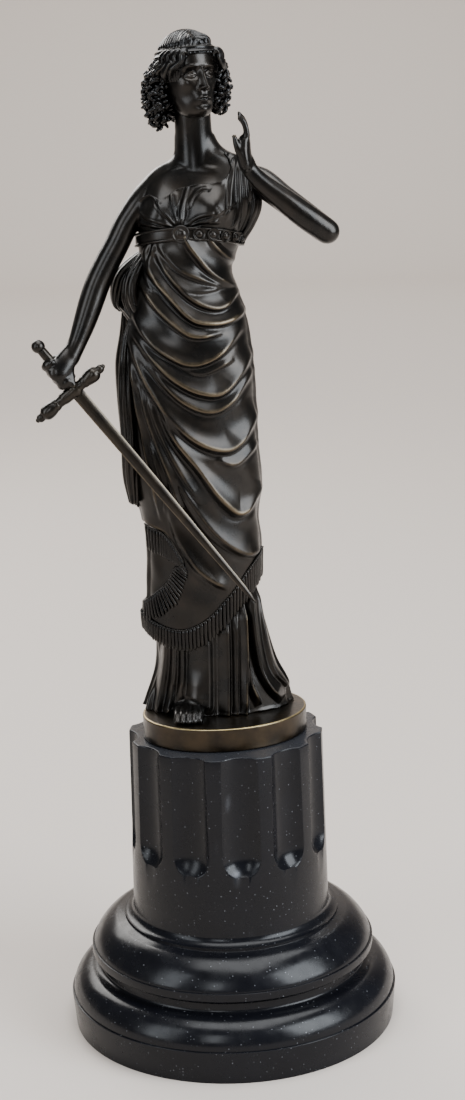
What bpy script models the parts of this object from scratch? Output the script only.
"""Bronze statuette of a draped woman holding a sword, on a fluted black marble plinth.

Origin: centre of the plinth's underside. +Z up, the figure faces -Y. Lengths in metres.
"""
import math

import bmesh
import bpy
import numpy as np

# Plinth: one turned and fluted block
BASE_RADIUS = 0.0893          # at the top of the lowest band
BASE_TAPER = 0.0016           # the band is this much narrower at the floor
BAND_HEIGHT = 0.0180
LOWER_ROUND_HEIGHT = 0.0138   # quarter round above the band
LOWER_ROUND_REACH = 0.0116    # how far that round draws in
LOWER_ROUND_FULLNESS = 1.85   # 2 is a true quarter ellipse, less is flatter
GROOVE_HEIGHT = 0.0087        # the shadowed channel between the two mouldings
GROOVE_DEPTH = 0.0042
UPPER_LIP = 0.0003            # the upper band stands out past the lower round's top by this
UPPER_BAND_HEIGHT = 0.0044
UPPER_ROUND_HEIGHT = 0.0145
UPPER_ROUND_REACH = 0.0134
UPPER_ROUND_FULLNESS = 1.45
ARRIS_STEP = 0.0010           # small step between a band and the round above it
SHELF_REACH = 0.0043          # narrow shelf above the upper round
SHELF_RISE = 0.0008
FILLET_HEIGHT = 0.0016        # upright edge between the shelf and the cove
COVE_HEIGHT = 0.0046          # hollow curve from the fillet up to the drum
DRUM_FOOT_RADIUS = 0.0533
DRUM_TOP_RADIUS = 0.0520
DRUM_HEIGHT = 0.0971
TURNED_STEPS = 48
FLUTE_COUNT = 12
FLUTE_ANGLE = math.radians(21.0)    # opening of a flute at the drum's face
FLUTE_DEPTH = 0.0042
FLUTE_FOOT = 0.0326           # plain drum left under the flutes' round ends
FLUTE_TURN = math.radians(7.5)      # from the front to the first flute's middle

# Oval base cast with the figure
DISC_LENGTH = 0.0884
DISC_WIDTH = 0.0718
DISC_HEIGHT = 0.0124
DISC_CHAMFER = 0.0008
DISC_TURN = math.radians(14.0)
DISC_BACK = -0.0027           # its middle stands this far forward of the plinth's axis

# Figure: every pose value below is in 353rds of its height, each about a millimetre
FIGURE_HEIGHT = 0.3530
UNIT = FIGURE_HEIGHT / 353.0
VOXEL = 0.95                  # grid that fuses the limbs and cloth, in pose units
FIGURE_TRIANGLES = 4700
SINK = 2.5                    # how deep the figure runs into its base, in pose units

# Sword: its place follows the fist, its sizes are its own
GRIP_RADIUS = 0.0021
POMMEL_RADIUS = 0.0035
BLADE_WIDTH = 0.0068
BLADE_THICKNESS = 0.0026
BLADE_TIP_WIDTH = 0.0030
QUILLON_REACH = 0.0215
QUILLON_SHIFT = 0.0030        # the guard was cast this far off the blade's axis
GUARD_BLOCK = 0.0034
QUILLON_BULB = 0.0039
FIT_GAP = 0.0003

SWORD_POMMEL = (-87.9, -19.0, 200.1)
SWORD_GUARD = (-70.4, -20.3, 177.7)
SWORD_TIP = (18.2, -27.0, 64.5)

ROUND_TOP = BAND_HEIGHT + LOWER_ROUND_HEIGHT + GROOVE_HEIGHT + UPPER_BAND_HEIGHT + UPPER_ROUND_HEIGHT
DRUM_FOOT = ROUND_TOP + SHELF_RISE + FILLET_HEIGHT + COVE_HEIGHT
PLINTH_TOP = DRUM_FOOT + DRUM_HEIGHT
DISC_BOTTOM = PLINTH_TOP + FIT_GAP
FIGURE_GROUND = DISC_BOTTOM + DISC_HEIGHT


def clear_scene():
    for thing in list(bpy.data.objects):
        bpy.data.objects.remove(thing, do_unlink=True)


def material(name, colour, roughness, metallic):
    made = bpy.data.materials.new(name)
    made.use_nodes = True
    shader = made.node_tree.nodes["Principled BSDF"]
    shader.inputs["Base Color"].default_value = (*colour, 1.0)
    shader.inputs["Roughness"].default_value = roughness
    shader.inputs["Metallic"].default_value = metallic
    made.diffuse_color = (*colour, 1.0)
    return made


def new_object(name, vertices, faces, finish=None):
    mesh = bpy.data.meshes.new(name)
    mesh.from_pydata([tuple(v) for v in vertices], [], [tuple(f) for f in faces])
    mesh.update()
    made = bpy.data.objects.new(name, mesh)
    bpy.context.scene.collection.objects.link(made)
    if finish:
        mesh.materials.append(finish)
    return made


def make_cutter(thing):
    thing.hide_render = True
    thing.display_type = "WIRE"
    return thing


def boolean(thing, other, operation):
    modifier = thing.modifiers.new(operation.lower(), "BOOLEAN")
    modifier.operation = operation
    modifier.solver = "EXACT"
    modifier.object = other


def evaluated_mesh(thing):
    graph = bpy.context.evaluated_depsgraph_get()
    return bpy.data.meshes.new_from_object(thing.evaluated_get(graph))


def smooth_curve(points, count):
    """Points of a Catmull-Rom curve through the given rows, spread by index."""
    points = np.asarray(points, float)
    padded = np.vstack([2 * points[0] - points[1], points, 2 * points[-1] - points[-2]])
    place = np.linspace(0, len(points) - 1, count)
    index = np.minimum(place.astype(int), len(points) - 2)
    t = (place - index)[:, None]
    p0, p1, p2, p3 = (padded[index + k] for k in range(4))
    return 0.5 * (2 * p1 + (p2 - p0) * t + (2 * p0 - 5 * p1 + 4 * p2 - p3) * t ** 2
                  + (3 * p1 - p0 - 3 * p2 + p3) * t ** 3)


def closed_grid(rings):
    """Vertices and faces of a closed skin over a stack of equal rings, with a fan at each end."""
    rings = np.asarray(rings, float)
    rows, sides, _ = rings.shape
    vertices = np.vstack([rings.reshape(-1, 3), rings[0].mean(0), rings[-1].mean(0)])
    row, side = np.meshgrid(np.arange(rows - 1), np.arange(sides), indexing="ij")
    after = (side + 1) % sides
    quads = np.stack([row * sides + side, row * sides + after,
                      (row + 1) * sides + after, (row + 1) * sides + side], -1).reshape(-1, 4)
    low, high = rows * sides, rows * sides + 1
    faces = [tuple(q) for q in quads]
    faces += [(low, (k + 1) % sides, k) for k in range(sides)]
    last = (rows - 1) * sides
    faces += [(high, last + k, last + (k + 1) % sides) for k in range(sides)]
    return vertices, faces


def tube(points, radii, sides=14, flat=1.0, up=(0.0, 1.0, 0.0), rings_per_point=4):
    """A limb: circles, or ovals that are flat times as deep along up, carried along a curve."""
    radii = np.broadcast_to(np.asarray(radii, float), (len(points),))
    rows = smooth_curve(np.column_stack([points, radii]), rings_per_point * (len(points) - 1) + 1)
    path, radius = rows[:, :3], rows[:, 3]
    along = np.gradient(path, axis=0)
    along /= np.linalg.norm(along, axis=1)[:, None]
    across = np.cross(along, np.asarray(up, float))
    across /= np.linalg.norm(across, axis=1)[:, None]
    deep = np.cross(along, across)
    ends = []
    for end, sign in ((0, -1.0), (-1, 1.0)):
        for angle in (30.0, 62.0):
            lift = math.sin(math.radians(angle))
            ends.append((path[end] + sign * along[end] * radius[end] * lift,
                         radius[end] * math.cos(math.radians(angle)), across[end], deep[end]))
    body = [(path[k], radius[k], across[k], deep[k]) for k in range(len(path))]
    order = [ends[1], ends[0]] + body + [ends[2], ends[3]]
    turn = np.linspace(0, 2 * math.pi, sides, endpoint=False)
    rings = [centre + r * (np.cos(turn)[:, None] * a + flat * np.sin(turn)[:, None] * d)
             for centre, r, a, d in order]
    return closed_grid(rings)


def ellipsoid(centre, radii, turn=0.0, sides=16, rows=9):
    """A rounded mass; turn swings it about the vertical, in degrees."""
    angle = np.linspace(-80, 80, rows)
    swing = math.radians(turn)
    spin = np.linspace(0, 2 * math.pi, sides, endpoint=False)
    rings = []
    for a in np.radians(angle):
        x = radii[0] * math.cos(a) * np.cos(spin)
        y = radii[1] * math.cos(a) * np.sin(spin)
        z = np.full(sides, radii[2] * math.sin(a))
        rings.append(np.stack([x * math.cos(swing) - y * math.sin(swing),
                               x * math.sin(swing) + y * math.cos(swing), z], -1) + centre)
    return closed_grid(rings)


def swag(start, low, end, samples=18):
    """A hanging fold's crest: steep at its gather, level at its lowest point, then up again."""
    start, low, end = (np.asarray(p, float) for p in (start, low, end))
    t = np.linspace(0, 1, samples)[:, None]
    knee = np.array([start[0] + 0.42 * (low[0] - start[0]), low[1] + 0.12 * (start[1] - low[1])])
    first = (1 - t) ** 2 * start + 2 * t * (1 - t) * knee + t ** 2 * low
    bend = np.array([low[0] + 0.60 * (end[0] - low[0]), low[1]])
    second = (1 - t) ** 2 * low + 2 * t * (1 - t) * bend + t ** 2 * end
    return np.vstack([first, second[1:]])


# Crests of the mantle's folds as seen from the front: gather, lowest point and end in x and z,
# then height and width, all in pose units
SWAGS = [
    ((-11, 248), (2, 232), (13, 225), 1.5, 3.0),
    ((-24, 243), (-4, 225), (12, 222), 1.5, 3.0),
    ((-27, 242), (3, 212), (14, 220), 1.8, 3.4),
    ((-34, 240), (1, 205), (17, 211), 2.2, 4.0),
    ((-35, 227), (0, 197), (16, 204), 1.6, 3.6),
    ((-39, 212), (-7, 183), (17, 198), 2.0, 4.0),
    ((-41, 209), (1, 167), (22, 186), 2.2, 4.4),
    ((-40, 206), (3, 157), (20, 172), 1.6, 4.0),
    ((-41, 205), (9, 136), (24, 154), 2.4, 5.0),
    ((-24, 158), (16, 106), (25, 116), 2.4, 5.0),
    ((-20, 124), (6, 88), (17, 82), 1.8, 4.5),
    ((-26, 105), (-4, 72), (6, 64), 1.4, 5.0),
]
# Long pleats that drop from the gather at the hip: top and foot in x and z, height, width
PLEATS = [
    ((-42, 208), (-38, 165), (-33, 124), 1.6, 2.6),
    ((-44, 205), (-46, 180), (-44, 150), 1.4, 2.4),
    ((-36, 160), (-29, 138), (-21, 118), 1.4, 2.4),
    ((-33, 157), (-24, 132), (-14, 112), 1.4, 2.6),
]


def fold_lines():
    """Every fold's crest as a line of points, with its height and width."""
    swags = [(swag(start, low, end), height, width) for start, low, end, height, width in SWAGS]
    pleats = [(smooth_curve([top, middle, foot], 13), height, width)
              for top, middle, foot, height, width in PLEATS]
    return swags + pleats


def fold_height(x, z):
    """Relief of the mantle: each crest falls off slowly above it and quickly below it."""
    total = np.zeros_like(x)
    for line, height, width in fold_lines():
        nearest = np.full(x.shape, 1e9)
        side = np.zeros_like(x)
        for a, b in zip(line[:-1], line[1:]):
            run = b - a
            t = np.clip(((x - a[0]) * run[0] + (z - a[1]) * run[1]) / run.dot(run), 0, 1)
            gap_x = x - a[0] - t * run[0]
            gap_z = z - a[1] - t * run[1]
            distance = np.hypot(gap_x, gap_z)
            closer = distance < nearest
            nearest = np.where(closer, distance, nearest)
            side = np.where(closer, run[0] * gap_z - run[1] * gap_x, side)
        spread = np.where(side > 0, width, 0.55 * width)
        total += (height * np.exp(-(nearest / spread) ** 2)) ** 3
    return np.cbrt(total)


def column(stations, rows, sides, low=None, high=None, relief=None):
    """A draped trunk: ovals (height, middle x, middle y, half width, half depth) joined smoothly.

    low and high give the height of the lower and upper edge for each side; relief pushes
    each point outwards by a height worked out from its angle and its x and z.
    """
    table = np.asarray(stations, float)
    fine = smooth_curve(table, 12 * (len(table) - 1) + 1)
    angle = np.linspace(-math.pi, math.pi, sides, endpoint=False)
    bottom = np.full(sides, table[0, 0]) if low is None else low(angle)
    top = np.full(sides, table[-1, 0]) if high is None else high(angle)
    share = np.linspace(0, 1, rows)[:, None]
    z = bottom[None, :] + share * (top - bottom)[None, :]
    middle_x, middle_y, wide, deep = (np.interp(z, fine[:, 0], fine[:, k]) for k in range(1, 5))
    turn = np.broadcast_to(angle, z.shape)
    out_x, out_y = np.sin(turn) * deep, -np.cos(turn) * wide
    size = np.hypot(out_x, out_y)
    x = middle_x + wide * np.sin(turn)
    y = middle_y - deep * np.cos(turn)
    if relief is not None:
        push = relief(turn, x, z)
        x = x + push * out_x / size
        y = y + push * out_y / size
    return closed_grid(np.stack([x, y, z], -1))


def underskirt():
    stations = [(-SINK, -3.2, 5.0, 38.6, 21.2), (0, -3.2, 5.0, 38.6, 21.2), (5, -3.0, 4.8, 37.4, 20.5),
                (14, -2.6, 4.5, 34.6, 19.2), (25, -3.8, 4.2, 31.0, 18.0), (40, -5.5, 4.0, 28.6, 17.2),
                (60, -8.0, 4.0, 26.5, 16.5), (80, -9.0, 4.0, 25.0, 16.0)]

    def pleats(turn, x, z):
        """Upright pleats that open out towards the hem, calm where the shin presses through."""
        depth = 0.5 + 1.3 * np.clip(1 - z / 55, 0, 1)
        calm = 1 - 0.85 * np.exp(-((turn + 0.35) / 0.30) ** 2)
        return depth * calm * np.sin(19 * turn + 1.2 * np.sin(2 * turn))

    return column(stations, 24, 120, relief=pleats)


def mantle():
    stations = [(25, -9.5, 3.6, 30.6, 19.0), (46, -10.5, 3.5, 30.6, 19.3), (70, -9.8, 3.4, 30.6, 19.8),
                (91, -9.1, 3.0, 30.4, 20.3), (107, -9.8, 2.8, 30.3, 20.8), (124, -10.8, 2.4, 33.8, 22.2),
                (147, -11.6, 1.6, 33.0, 23.0), (172, -12.6, 0.8, 33.0, 24.2), (184, -13.0, 0.4, 33.0, 24.6),
                (194, -12.7, 0.0, 31.8, 24.4), (202, -12.6, 0.0, 30.8, 24.0), (210, -12.2, 0.0, 29.2, 23.0),
                (221, -13.2, 0.0, 27.4, 21.6), (233, -13.2, 0.0, 24.2, 20.0), (241, -11.4, 0.0, 24.0, 19.4),
                (249, -10.0, 0.0, 26.0, 19.6)]

    def hem(turn):
        """The lower edge hangs low at the front left and climbs across to the right."""
        return 58 + 12 * np.sin(turn) - 20 * np.exp(-((turn + 0.08) / 0.9) ** 2)

    def folds(turn, x, z):
        front = np.clip(0.5 + 1.6 * np.cos(turn), 0, 1)
        back = 1 - front
        hanging = 1.4 * np.sin(9 * turn + 0.03 * z) * np.clip((235 - z) / 60, 0, 1)
        return front * fold_height(x, z) + back * (hanging + 0.8)

    return column(stations, 92, 132, low=hem, relief=folds)


def bodice():
    stations = [(242, -11.0, 0.0, 24.4, 19.0), (247, -10.0, 0.0, 26.2, 19.8), (253, -9.5, 0.2, 26.4, 19.0),
                (262, -8.0, 0.6, 28.2, 17.6), (270, -6.0, 1.2, 29.6, 15.6), (276, -4.4, 1.8, 29.8, 13.6),
                (281, -2.8, 2.2, 28.6, 11.6), (285, -2.4, 2.6, 25.0, 9.8), (288, -3.4, 3.0, 18.0, 8.6),
                (292, -6.0, 3.0, 10.5, 7.8)]

    def chest(turn, x, z):
        front = np.clip(np.cos(turn), 0, 1)
        right = 6.0 * np.exp(-((x + 25.5) / 8.0) ** 2 - ((z - 266) / 8.5) ** 2)
        left = 6.4 * np.exp(-((x - 2.5) / 8.0) ** 2 - ((z - 266.5) / 8.5) ** 2)
        bearing = np.arctan2(z - 254, x + 14)
        gathers = 0.9 * np.cos(13 * bearing) * np.exp(-((np.hypot(x + 14, z - 256) - 8) / 8) ** 2)
        return front * (right + left + gathers)

    return column(stations, 34, 96, relief=chest)


def belt():
    """A flat strap of ovals round the waist and the medallions on its front."""
    turn = np.linspace(0, 2 * math.pi, 72, endpoint=False)
    rings = []
    for z, grow in ((-3.2, -1.5), (-3.0, 0.4), (-2.0, 1.1), (2.0, 1.1), (3.0, 0.4), (3.2, -1.5)):
        height = 249.5 + z + 1.6 * np.cos(turn) - 0.6 * np.sin(turn)
        rings.append(np.stack([-10.0 + (26.4 + grow) * np.sin(turn),
                               0.2 - (19.8 + grow) * np.cos(turn), height], -1))
    parts = [closed_grid(rings)]
    for angle, size in ((-0.14, 4.0), (0.20, 3.1), (0.50, 3.1), (0.82, 3.0), (1.14, 2.8), (1.48, 2.6)):
        centre = (-10.0 + 27.0 * math.sin(angle), 0.2 - 20.4 * math.cos(angle),
                  249.5 + 1.6 * math.cos(angle) - 0.6 * math.sin(angle) + (1.2 if size > 3.5 else 0))
        parts.append(ellipsoid(centre, (size, 1.9, size), turn=math.degrees(angle), sides=12, rows=7))
    return parts


def hip_tail():
    """The cloth knotted on the hip, the end that falls down the back, and the slack under the left arm."""
    knot = tube([(-36, 6, 240), (-44, 8, 231), (-46, 6, 221), (-43, 4, 212)], [4.0, 5.4, 5.2, 4.0], flat=1.5)
    roll = tube([(-40, -3, 236), (-43, -3, 226), (-41, -4, 215)], [2.6, 3.4, 2.6])
    fall = tube([(-42, 6, 215), (-41.6, 8, 202), (-42.0, 9, 186), (-42.0, 10, 168),
                 (-41.4, 10, 148), (-41.6, 10, 128), (-38, 10, 114)],
                [4.6, 5.6, 8.2, 8.2, 7.8, 8.6, 5.0], sides=20, flat=1.5)
    drape = tube([(20, 1, 279), (22.5, 0.5, 268), (19.5, 0, 258), (16, 0, 250)], [3.5, 5.0, 4.6, 3.0],
                 sides=14)
    return [knot, roll, fall, drape]


def arms():
    right = tube([(-27.5, 2, 277.5), (-33.4, 0.5, 269), (-41.1, -1, 259.2), (-46.8, -2.5, 248.6),
                  (-52.2, -4, 239), (-57.4, -6, 228.8), (-61.4, -8.5, 219), (-65.0, -11.5, 209.5),
                  (-68.6, -15, 200.5), (-72.0, -18, 193.5)],
                 [7.6, 7.0, 6.4, 6.3, 6.4, 6.5, 6.4, 5.7, 4.8, 4.7], sides=18)
    left = tube([(18, 3, 278), (27, 0, 277), (37.5, -9, 269.8), (48, -19, 262.0), (57, -28, 255.4)],
                [8.0, 7.4, 6.6, 6.0, 5.8], sides=18)
    fore = tube([(58.7, -29.5, 254.4), (50, -31, 261.2), (39.5, -32.5, 269.4), (29.5, -33.4, 277.6),
                 (22.4, -33.8, 285.0), (19.6, -34, 290.5)], [5.7, 6.1, 5.8, 4.9, 4.1, 4.0], sides=18)
    return [right, left, fore]


def left_hand():
    """The raised hand, palm to the face, fingers together and thumb standing clear."""
    palm = tube([(19.6, -34, 288), (18.6, -34, 294), (19.0, -34, 300)], [3.6, 3.9, 3.2], flat=2.0)
    parts = [palm]
    for spread, reach in ((-4.6, 309.5), (-1.6, 313.0), (1.5, 312.0), (4.4, 308.5)):
        parts.append(tube([(19.6, -34 + spread * 0.8, 299), (20.3, -34 + spread, 303.5),
                           (19.2, -34 + spread * 1.1, (303.5 + reach) / 2 + 1),
                           (16.8, -34 + spread * 1.1, reach)], [1.9, 1.75, 1.6, 1.3], sides=10))
    parts.append(tube([(18.2, -37.5, 292), (15.8, -39.5, 296.5), (14.2, -39.5, 302.5)],
                      [2.3, 1.9, 1.4], sides=10))
    return parts


def sword_line(share):
    """A point in pose units on the sword's axis: 0 at the pommel, 1 at the guard."""
    pommel, guard = np.array(SWORD_POMMEL), np.array(SWORD_GUARD)
    return pommel + share * (guard - pommel)


def fist():
    """The hand closed round the grip: its back, and four fingers wrapped over the grip."""
    clear = (GRIP_RADIUS + FIT_GAP) / UNIT
    axis = sword_line(1) - sword_line(0)
    axis /= np.linalg.norm(axis)
    front = np.array([0.0, -1.0, 0.0])
    front -= front.dot(axis) * axis
    front /= np.linalg.norm(front)
    beside = np.cross(axis, front)
    finger = 2.15
    wrap = clear + 0.85 * finger
    parts = [tube([(-71.6, -18, 194.5), sword_line(0.50) + np.array([2.4, 1.6, 2.0])],
                  [4.9, clear + 3.4], sides=16)]
    for share in (0.36, 0.505, 0.65, 0.795):
        middle = sword_line(share)
        loop = [middle + wrap * (math.cos(a) * beside + math.sin(a) * front)
                for a in np.radians([-60, 0, 50, 100, 150, 205, 250])]
        parts.append(tube(loop, [finger] * len(loop), sides=10, up=tuple(axis), rings_per_point=3))
    return parts


def neck_and_head():
    parts = [tube([(-5.5, 3.2, 283), (-6.6, 3.0, 292), (-7.6, 1.8, 302), (-7.4, 0.5, 313)],
                  [11.0, 8.6, 7.9, 7.9], sides=20)]
    skull = ellipsoid((-8.6, 2.0, 337.2), (15.6, 15.8, 15.8), sides=24, rows=13)
    face = ellipsoid((-5.4, -5.6, 325.4), (9.6, 9.6, 14.2), turn=30, sides=20, rows=13)
    jaw = ellipsoid((-3.0, -8.2, 317.0), (5.6, 6.0, 5.4), turn=30)
    nose = tube([(-0.2, -14.6, 329), (0.7, -17.0, 323.4)], [1.3, 1.7], sides=8)
    band_turn = np.linspace(0, 2 * math.pi, 40, endpoint=False)
    band = [np.stack([-8.4 + (15.7 + g) * np.sin(band_turn), 0.8 - (15.8 + g) * np.cos(band_turn),
                      338.0 + z - 1.5 * np.cos(band_turn)], -1)
            for z, g in ((-2.2, -2.0), (-1.8, 0.2), (1.8, 0.2), (2.2, -2.0))]
    return parts + [skull, face, jaw, nose, closed_grid(band)]


def curls():
    """Bunches of short round curls at both sides and over the nape."""
    masses = [((-23.0, 1.0, 321.0), (7.6, 9.5, 17.0), 34), ((7.4, 4.5, 325.0), (6.2, 8.5, 14.5), 24),
              ((-9.0, 12.0, 320.0), (13.0, 6.5, 15.0), 30)]
    golden = math.pi * (3 - math.sqrt(5))
    parts = []
    for centre, size, count in masses:
        parts.append(ellipsoid(centre, size))
        for k in range(count):
            lift = 1 - (2 * k + 1) / count
            ring = math.sqrt(1 - lift * lift)
            way = np.array([ring * math.cos(golden * k), ring * math.sin(golden * k), lift])
            parts.append(ellipsoid(np.array(centre) + way * np.array(size) * 0.98, (2.5, 2.5, 2.5),
                                   sides=8, rows=5))
    return parts


def foot():
    parts = [tube([(-19.5, -12, 7), (-18.4, -20, 5.0), (-17.6, -25.5, 3.0)], [6.0, 5.6, 3.6], sides=14,
                  up=(0, 0, 1))]
    for k in range(5):
        side = -23.2 + 2.7 * k
        reach = -28.6 - 2.0 * math.sin(math.pi * (0.25 + 0.15 * k))
        size = 1.2 + 0.14 * k
        parts.append(tube([(side + 0.6, -22, 2.8), (side, reach, 1.2)], [size + 0.3, size], sides=10,
                          up=(0, 0, 1)))
    return parts


def oval(name, length, width, bottom, height, chamfer, finish=None):
    """The oval base: an ellipse drawn straight up, with its two edges eased."""
    turn = np.linspace(0, 2 * math.pi, 72, endpoint=False)
    rings = []
    for z, inset in ((0, chamfer), (chamfer, 0), (height - chamfer, 0), (height, chamfer)):
        x = (length / 2 - inset) * np.cos(turn)
        y = (width / 2 - inset) * np.sin(turn)
        rings.append(np.stack([x * math.cos(DISC_TURN) - y * math.sin(DISC_TURN),
                               x * math.sin(DISC_TURN) + y * math.cos(DISC_TURN) + DISC_BACK,
                               np.full_like(x, bottom + z)], -1))
    vertices, faces = closed_grid(rings)
    return new_object(name, vertices, faces, finish)


def grip_cutter():
    pommel = np.array(SWORD_POMMEL) * UNIT
    guard = np.array(SWORD_GUARD) * UNIT
    lift = np.array([0, 0, FIGURE_GROUND])
    axis = (guard - pommel) / np.linalg.norm(guard - pommel)
    points = [pommel - 0.004 * axis + lift, pommel + lift, guard + lift, guard + 0.003 * axis + lift]
    vertices, faces = tube(points, GRIP_RADIUS + FIT_GAP, sides=20, rings_per_point=1)
    return make_cutter(new_object("grip_room", vertices, faces))


def make_figure(bronze):
    """Everything cast in one with the oval base, fused into one skin."""
    shapes = [underskirt(), mantle(), bodice()] + belt() + hip_tail() + arms()
    shapes += left_hand() + fist() + neck_and_head() + curls() + foot()
    vertices, faces = [], []
    for points, loops in shapes:
        first = len(vertices)
        vertices.extend(np.asarray(points) * UNIT + np.array([0, 0, FIGURE_GROUND]))
        faces.extend(tuple(first + i for i in loop) for loop in loops)
    rough = new_object("rough_figure", vertices, faces)
    fuse = rough.modifiers.new("fuse", "REMESH")
    fuse.mode = "VOXEL"
    fuse.voxel_size = VOXEL * UNIT
    fine = evaluated_mesh(rough)
    bpy.data.objects.remove(rough, do_unlink=True)
    figure = bpy.data.objects.new("figure", fine)
    bpy.context.scene.collection.objects.link(figure)
    fine.materials.clear()
    fine.materials.append(bronze)
    thin = figure.modifiers.new("thin_out", "DECIMATE")
    thin.decimate_type = "COLLAPSE"
    thin.ratio = FIGURE_TRIANGLES / (2.0 * len(fine.polygons))
    thin.use_collapse_triangulate = True
    lean = evaluated_mesh(figure)
    figure.modifiers.clear()
    figure.data = lean
    base = make_cutter(oval("oval_base", DISC_LENGTH, DISC_WIDTH, DISC_BOTTOM, DISC_HEIGHT, DISC_CHAMFER))
    boolean(figure, base, "UNION")
    boolean(figure, grip_cutter(), "DIFFERENCE")
    return figure


def make_sword(bronze):
    """A ball pommel, round grip, two bud-ended quillons and a diamond blade, cast in one."""
    lift = np.array([0, 0, FIGURE_GROUND])
    pommel = np.array(SWORD_POMMEL) * UNIT + lift
    guard = np.array(SWORD_GUARD) * UNIT + lift
    tip = np.array(SWORD_TIP) * UNIT + lift
    axis = (tip - guard) / np.linalg.norm(tip - guard)
    flat = np.cross(axis, (0.0, 1.0, 0.0))
    flat /= np.linalg.norm(flat)
    face = np.cross(axis, flat)
    length = np.linalg.norm(tip - guard)
    rings = []
    for share, width in ((-0.01, 0.6), (0.0, 1.0), (0.45, 0.86), (0.93, BLADE_TIP_WIDTH / BLADE_WIDTH),
                         (1.0, 0.12)):
        half = 0.5 * BLADE_WIDTH * width
        thick = 0.5 * BLADE_THICKNESS * (0.35 + 0.65 * width)
        middle = guard + share * length * axis
        corners = ((half, 0), (0.35 * half, thick), (-0.35 * half, thick),
                   (-half, 0), (-0.35 * half, -thick), (0.35 * half, -thick))
        rings.append([middle + a * flat + b * face for a, b in corners])
    blade = new_object("sword", *closed_grid(rings), bronze)
    grip = tube([pommel, guard + 0.001 * axis], GRIP_RADIUS, sides=12, rings_per_point=2)
    ball = ellipsoid(pommel, (POMMEL_RADIUS,) * 3, sides=12, rows=7)
    shares = (-1.0, -0.93, -0.86, -0.72, -0.56, -0.36, -0.16, 0.16, 0.36, 0.56, 0.72, 0.86, 0.93, 1.0)
    sizes = (0.35, 0.42, 0.55, 1.0, 0.92, 0.56, 0.66, 0.66, 0.56, 0.92, 1.0, 0.55, 0.42, 0.35)
    middle = guard - QUILLON_SHIFT * flat
    quillons = tube([middle + s * QUILLON_REACH * flat for s in shares],
                    [QUILLON_BULB * s for s in sizes], sides=9, rings_per_point=1)
    block = ellipsoid(guard, (GUARD_BLOCK,) * 3, sides=10, rows=7)
    for name, (vertices, faces) in (("grip", grip), ("pommel", ball), ("quillons", quillons),
                                    ("guard_block", block)):
        boolean(blade, make_cutter(new_object("sword_" + name, vertices, faces)), "UNION")
    return blade


def quarter_round(radius, bottom, reach, height, fullness, steps=6):
    """Radius and height of a convex round that draws in by reach as it rises."""
    angle = np.linspace(0, math.pi / 2, steps)
    power = 2 / fullness
    return [(radius - reach * (1 - math.cos(a) ** power), bottom + height * math.sin(a) ** power)
            for a in angle]


def plinth_profile():
    """The turned outline from the floor to the drum's top edge."""
    outline = [(BASE_RADIUS - BASE_TAPER, 0.0), (BASE_RADIUS, BAND_HEIGHT)]
    outline += quarter_round(BASE_RADIUS - ARRIS_STEP, BAND_HEIGHT, LOWER_ROUND_REACH, LOWER_ROUND_HEIGHT,
                             LOWER_ROUND_FULLNESS)
    neck, groove_foot = outline[-1]
    upper_radius = neck + UPPER_LIP
    band_foot = groove_foot + GROOVE_HEIGHT
    outline += [(neck - GROOVE_DEPTH, groove_foot + 0.25 * GROOVE_HEIGHT),
                (neck - GROOVE_DEPTH, groove_foot + 0.65 * GROOVE_HEIGHT),
                (upper_radius, band_foot),
                (upper_radius, band_foot + UPPER_BAND_HEIGHT)]
    outline += quarter_round(upper_radius - ARRIS_STEP, band_foot + UPPER_BAND_HEIGHT, UPPER_ROUND_REACH,
                             UPPER_ROUND_HEIGHT, UPPER_ROUND_FULLNESS)
    shelf_radius = outline[-1][0] - SHELF_REACH
    cove_foot = ROUND_TOP + SHELF_RISE + FILLET_HEIGHT
    outline += [(shelf_radius, ROUND_TOP + SHELF_RISE)]
    for a in np.linspace(0, math.pi / 2, 5):
        outline.append((shelf_radius - (shelf_radius - DRUM_FOOT_RADIUS) * math.sin(a),
                        cove_foot + COVE_HEIGHT * (1 - math.cos(a))))
    outline.append((DRUM_TOP_RADIUS, PLINTH_TOP))
    return outline


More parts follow.
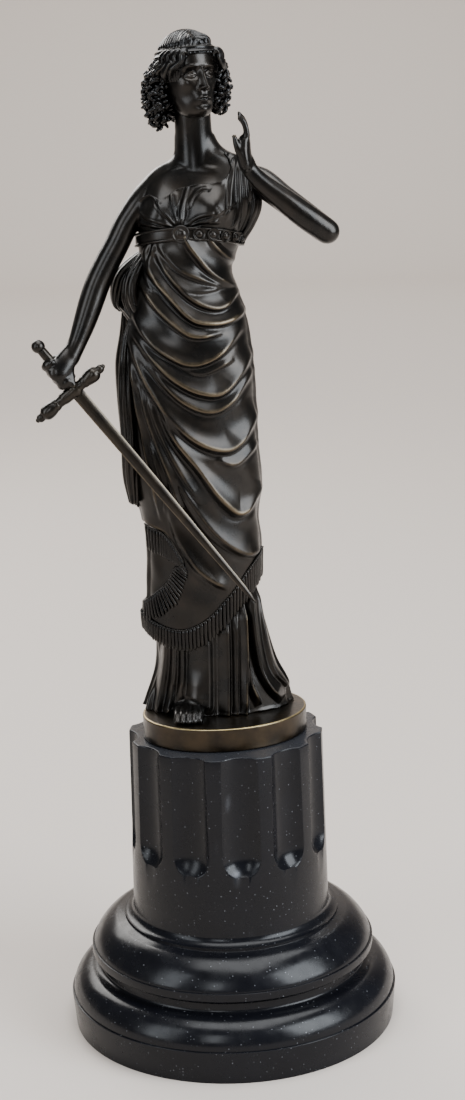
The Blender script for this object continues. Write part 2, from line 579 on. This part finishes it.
def make_plinth(marble):
    turn = np.linspace(0, 2 * math.pi, TURNED_STEPS, endpoint=False)
    rings = [np.stack([radius * np.cos(turn), radius * np.sin(turn), np.full_like(turn, z)], -1)
             for radius, z in plinth_profile()]
    plinth = new_object("marble_plinth", *closed_grid(rings), marble)
    half_chord = DRUM_TOP_RADIUS * math.sin(FLUTE_ANGLE / 2)
    rise = FLUTE_DEPTH - DRUM_TOP_RADIUS * (1 - math.cos(FLUTE_ANGLE / 2))
    cut_radius = (half_chord ** 2 + rise ** 2) / (2 * rise)
    out = DRUM_TOP_RADIUS - FLUTE_DEPTH + cut_radius
    end_drop = math.sqrt(cut_radius ** 2 - (out - DRUM_TOP_RADIUS) ** 2)
    low = DRUM_FOOT + FLUTE_FOOT + end_drop
    spin = np.linspace(0, 2 * math.pi, 26, endpoint=False)
    rings = []
    for a in np.radians([-80, -60, -42, -26, -12, 0]):
        rings.append((cut_radius * math.cos(a), low + cut_radius * math.sin(a)))
    rings.append((cut_radius, PLINTH_TOP + 0.004))
    vertices = []
    faces = []
    for k in range(FLUTE_COUNT):
        bearing = FLUTE_TURN + k * 2 * math.pi / FLUTE_COUNT
        centre = np.array([out * math.sin(bearing), -out * math.cos(bearing), 0.0])
        points, loops = closed_grid([np.stack([centre[0] + r * np.cos(spin), centre[1] + r * np.sin(spin),
                                               np.full_like(spin, z)], -1) for r, z in rings])
        first = len(vertices)
        vertices.extend(points)
        faces.extend(tuple(first + i for i in loop) for loop in loops)
    boolean(plinth, make_cutter(new_object("flute_cutters", vertices, faces)), "DIFFERENCE")
    return plinth


def shade(thing, angle):
    for polygon in thing.data.polygons:
        polygon.use_smooth = True
    thing.data.set_sharp_from_angle(angle=math.radians(angle))


def main():
    clear_scene()
    bronze = material("patinated_bronze", (0.085, 0.062, 0.042), 0.32, 1.0)
    dark = material("sword_bronze", (0.10, 0.074, 0.050), 0.32, 1.0)
    marble = material("black_marble", (0.018, 0.019, 0.022), 0.16, 0.0)
    make_plinth(marble)
    shade(make_figure(bronze), 50)
    shade(make_sword(dark), 35)


main()
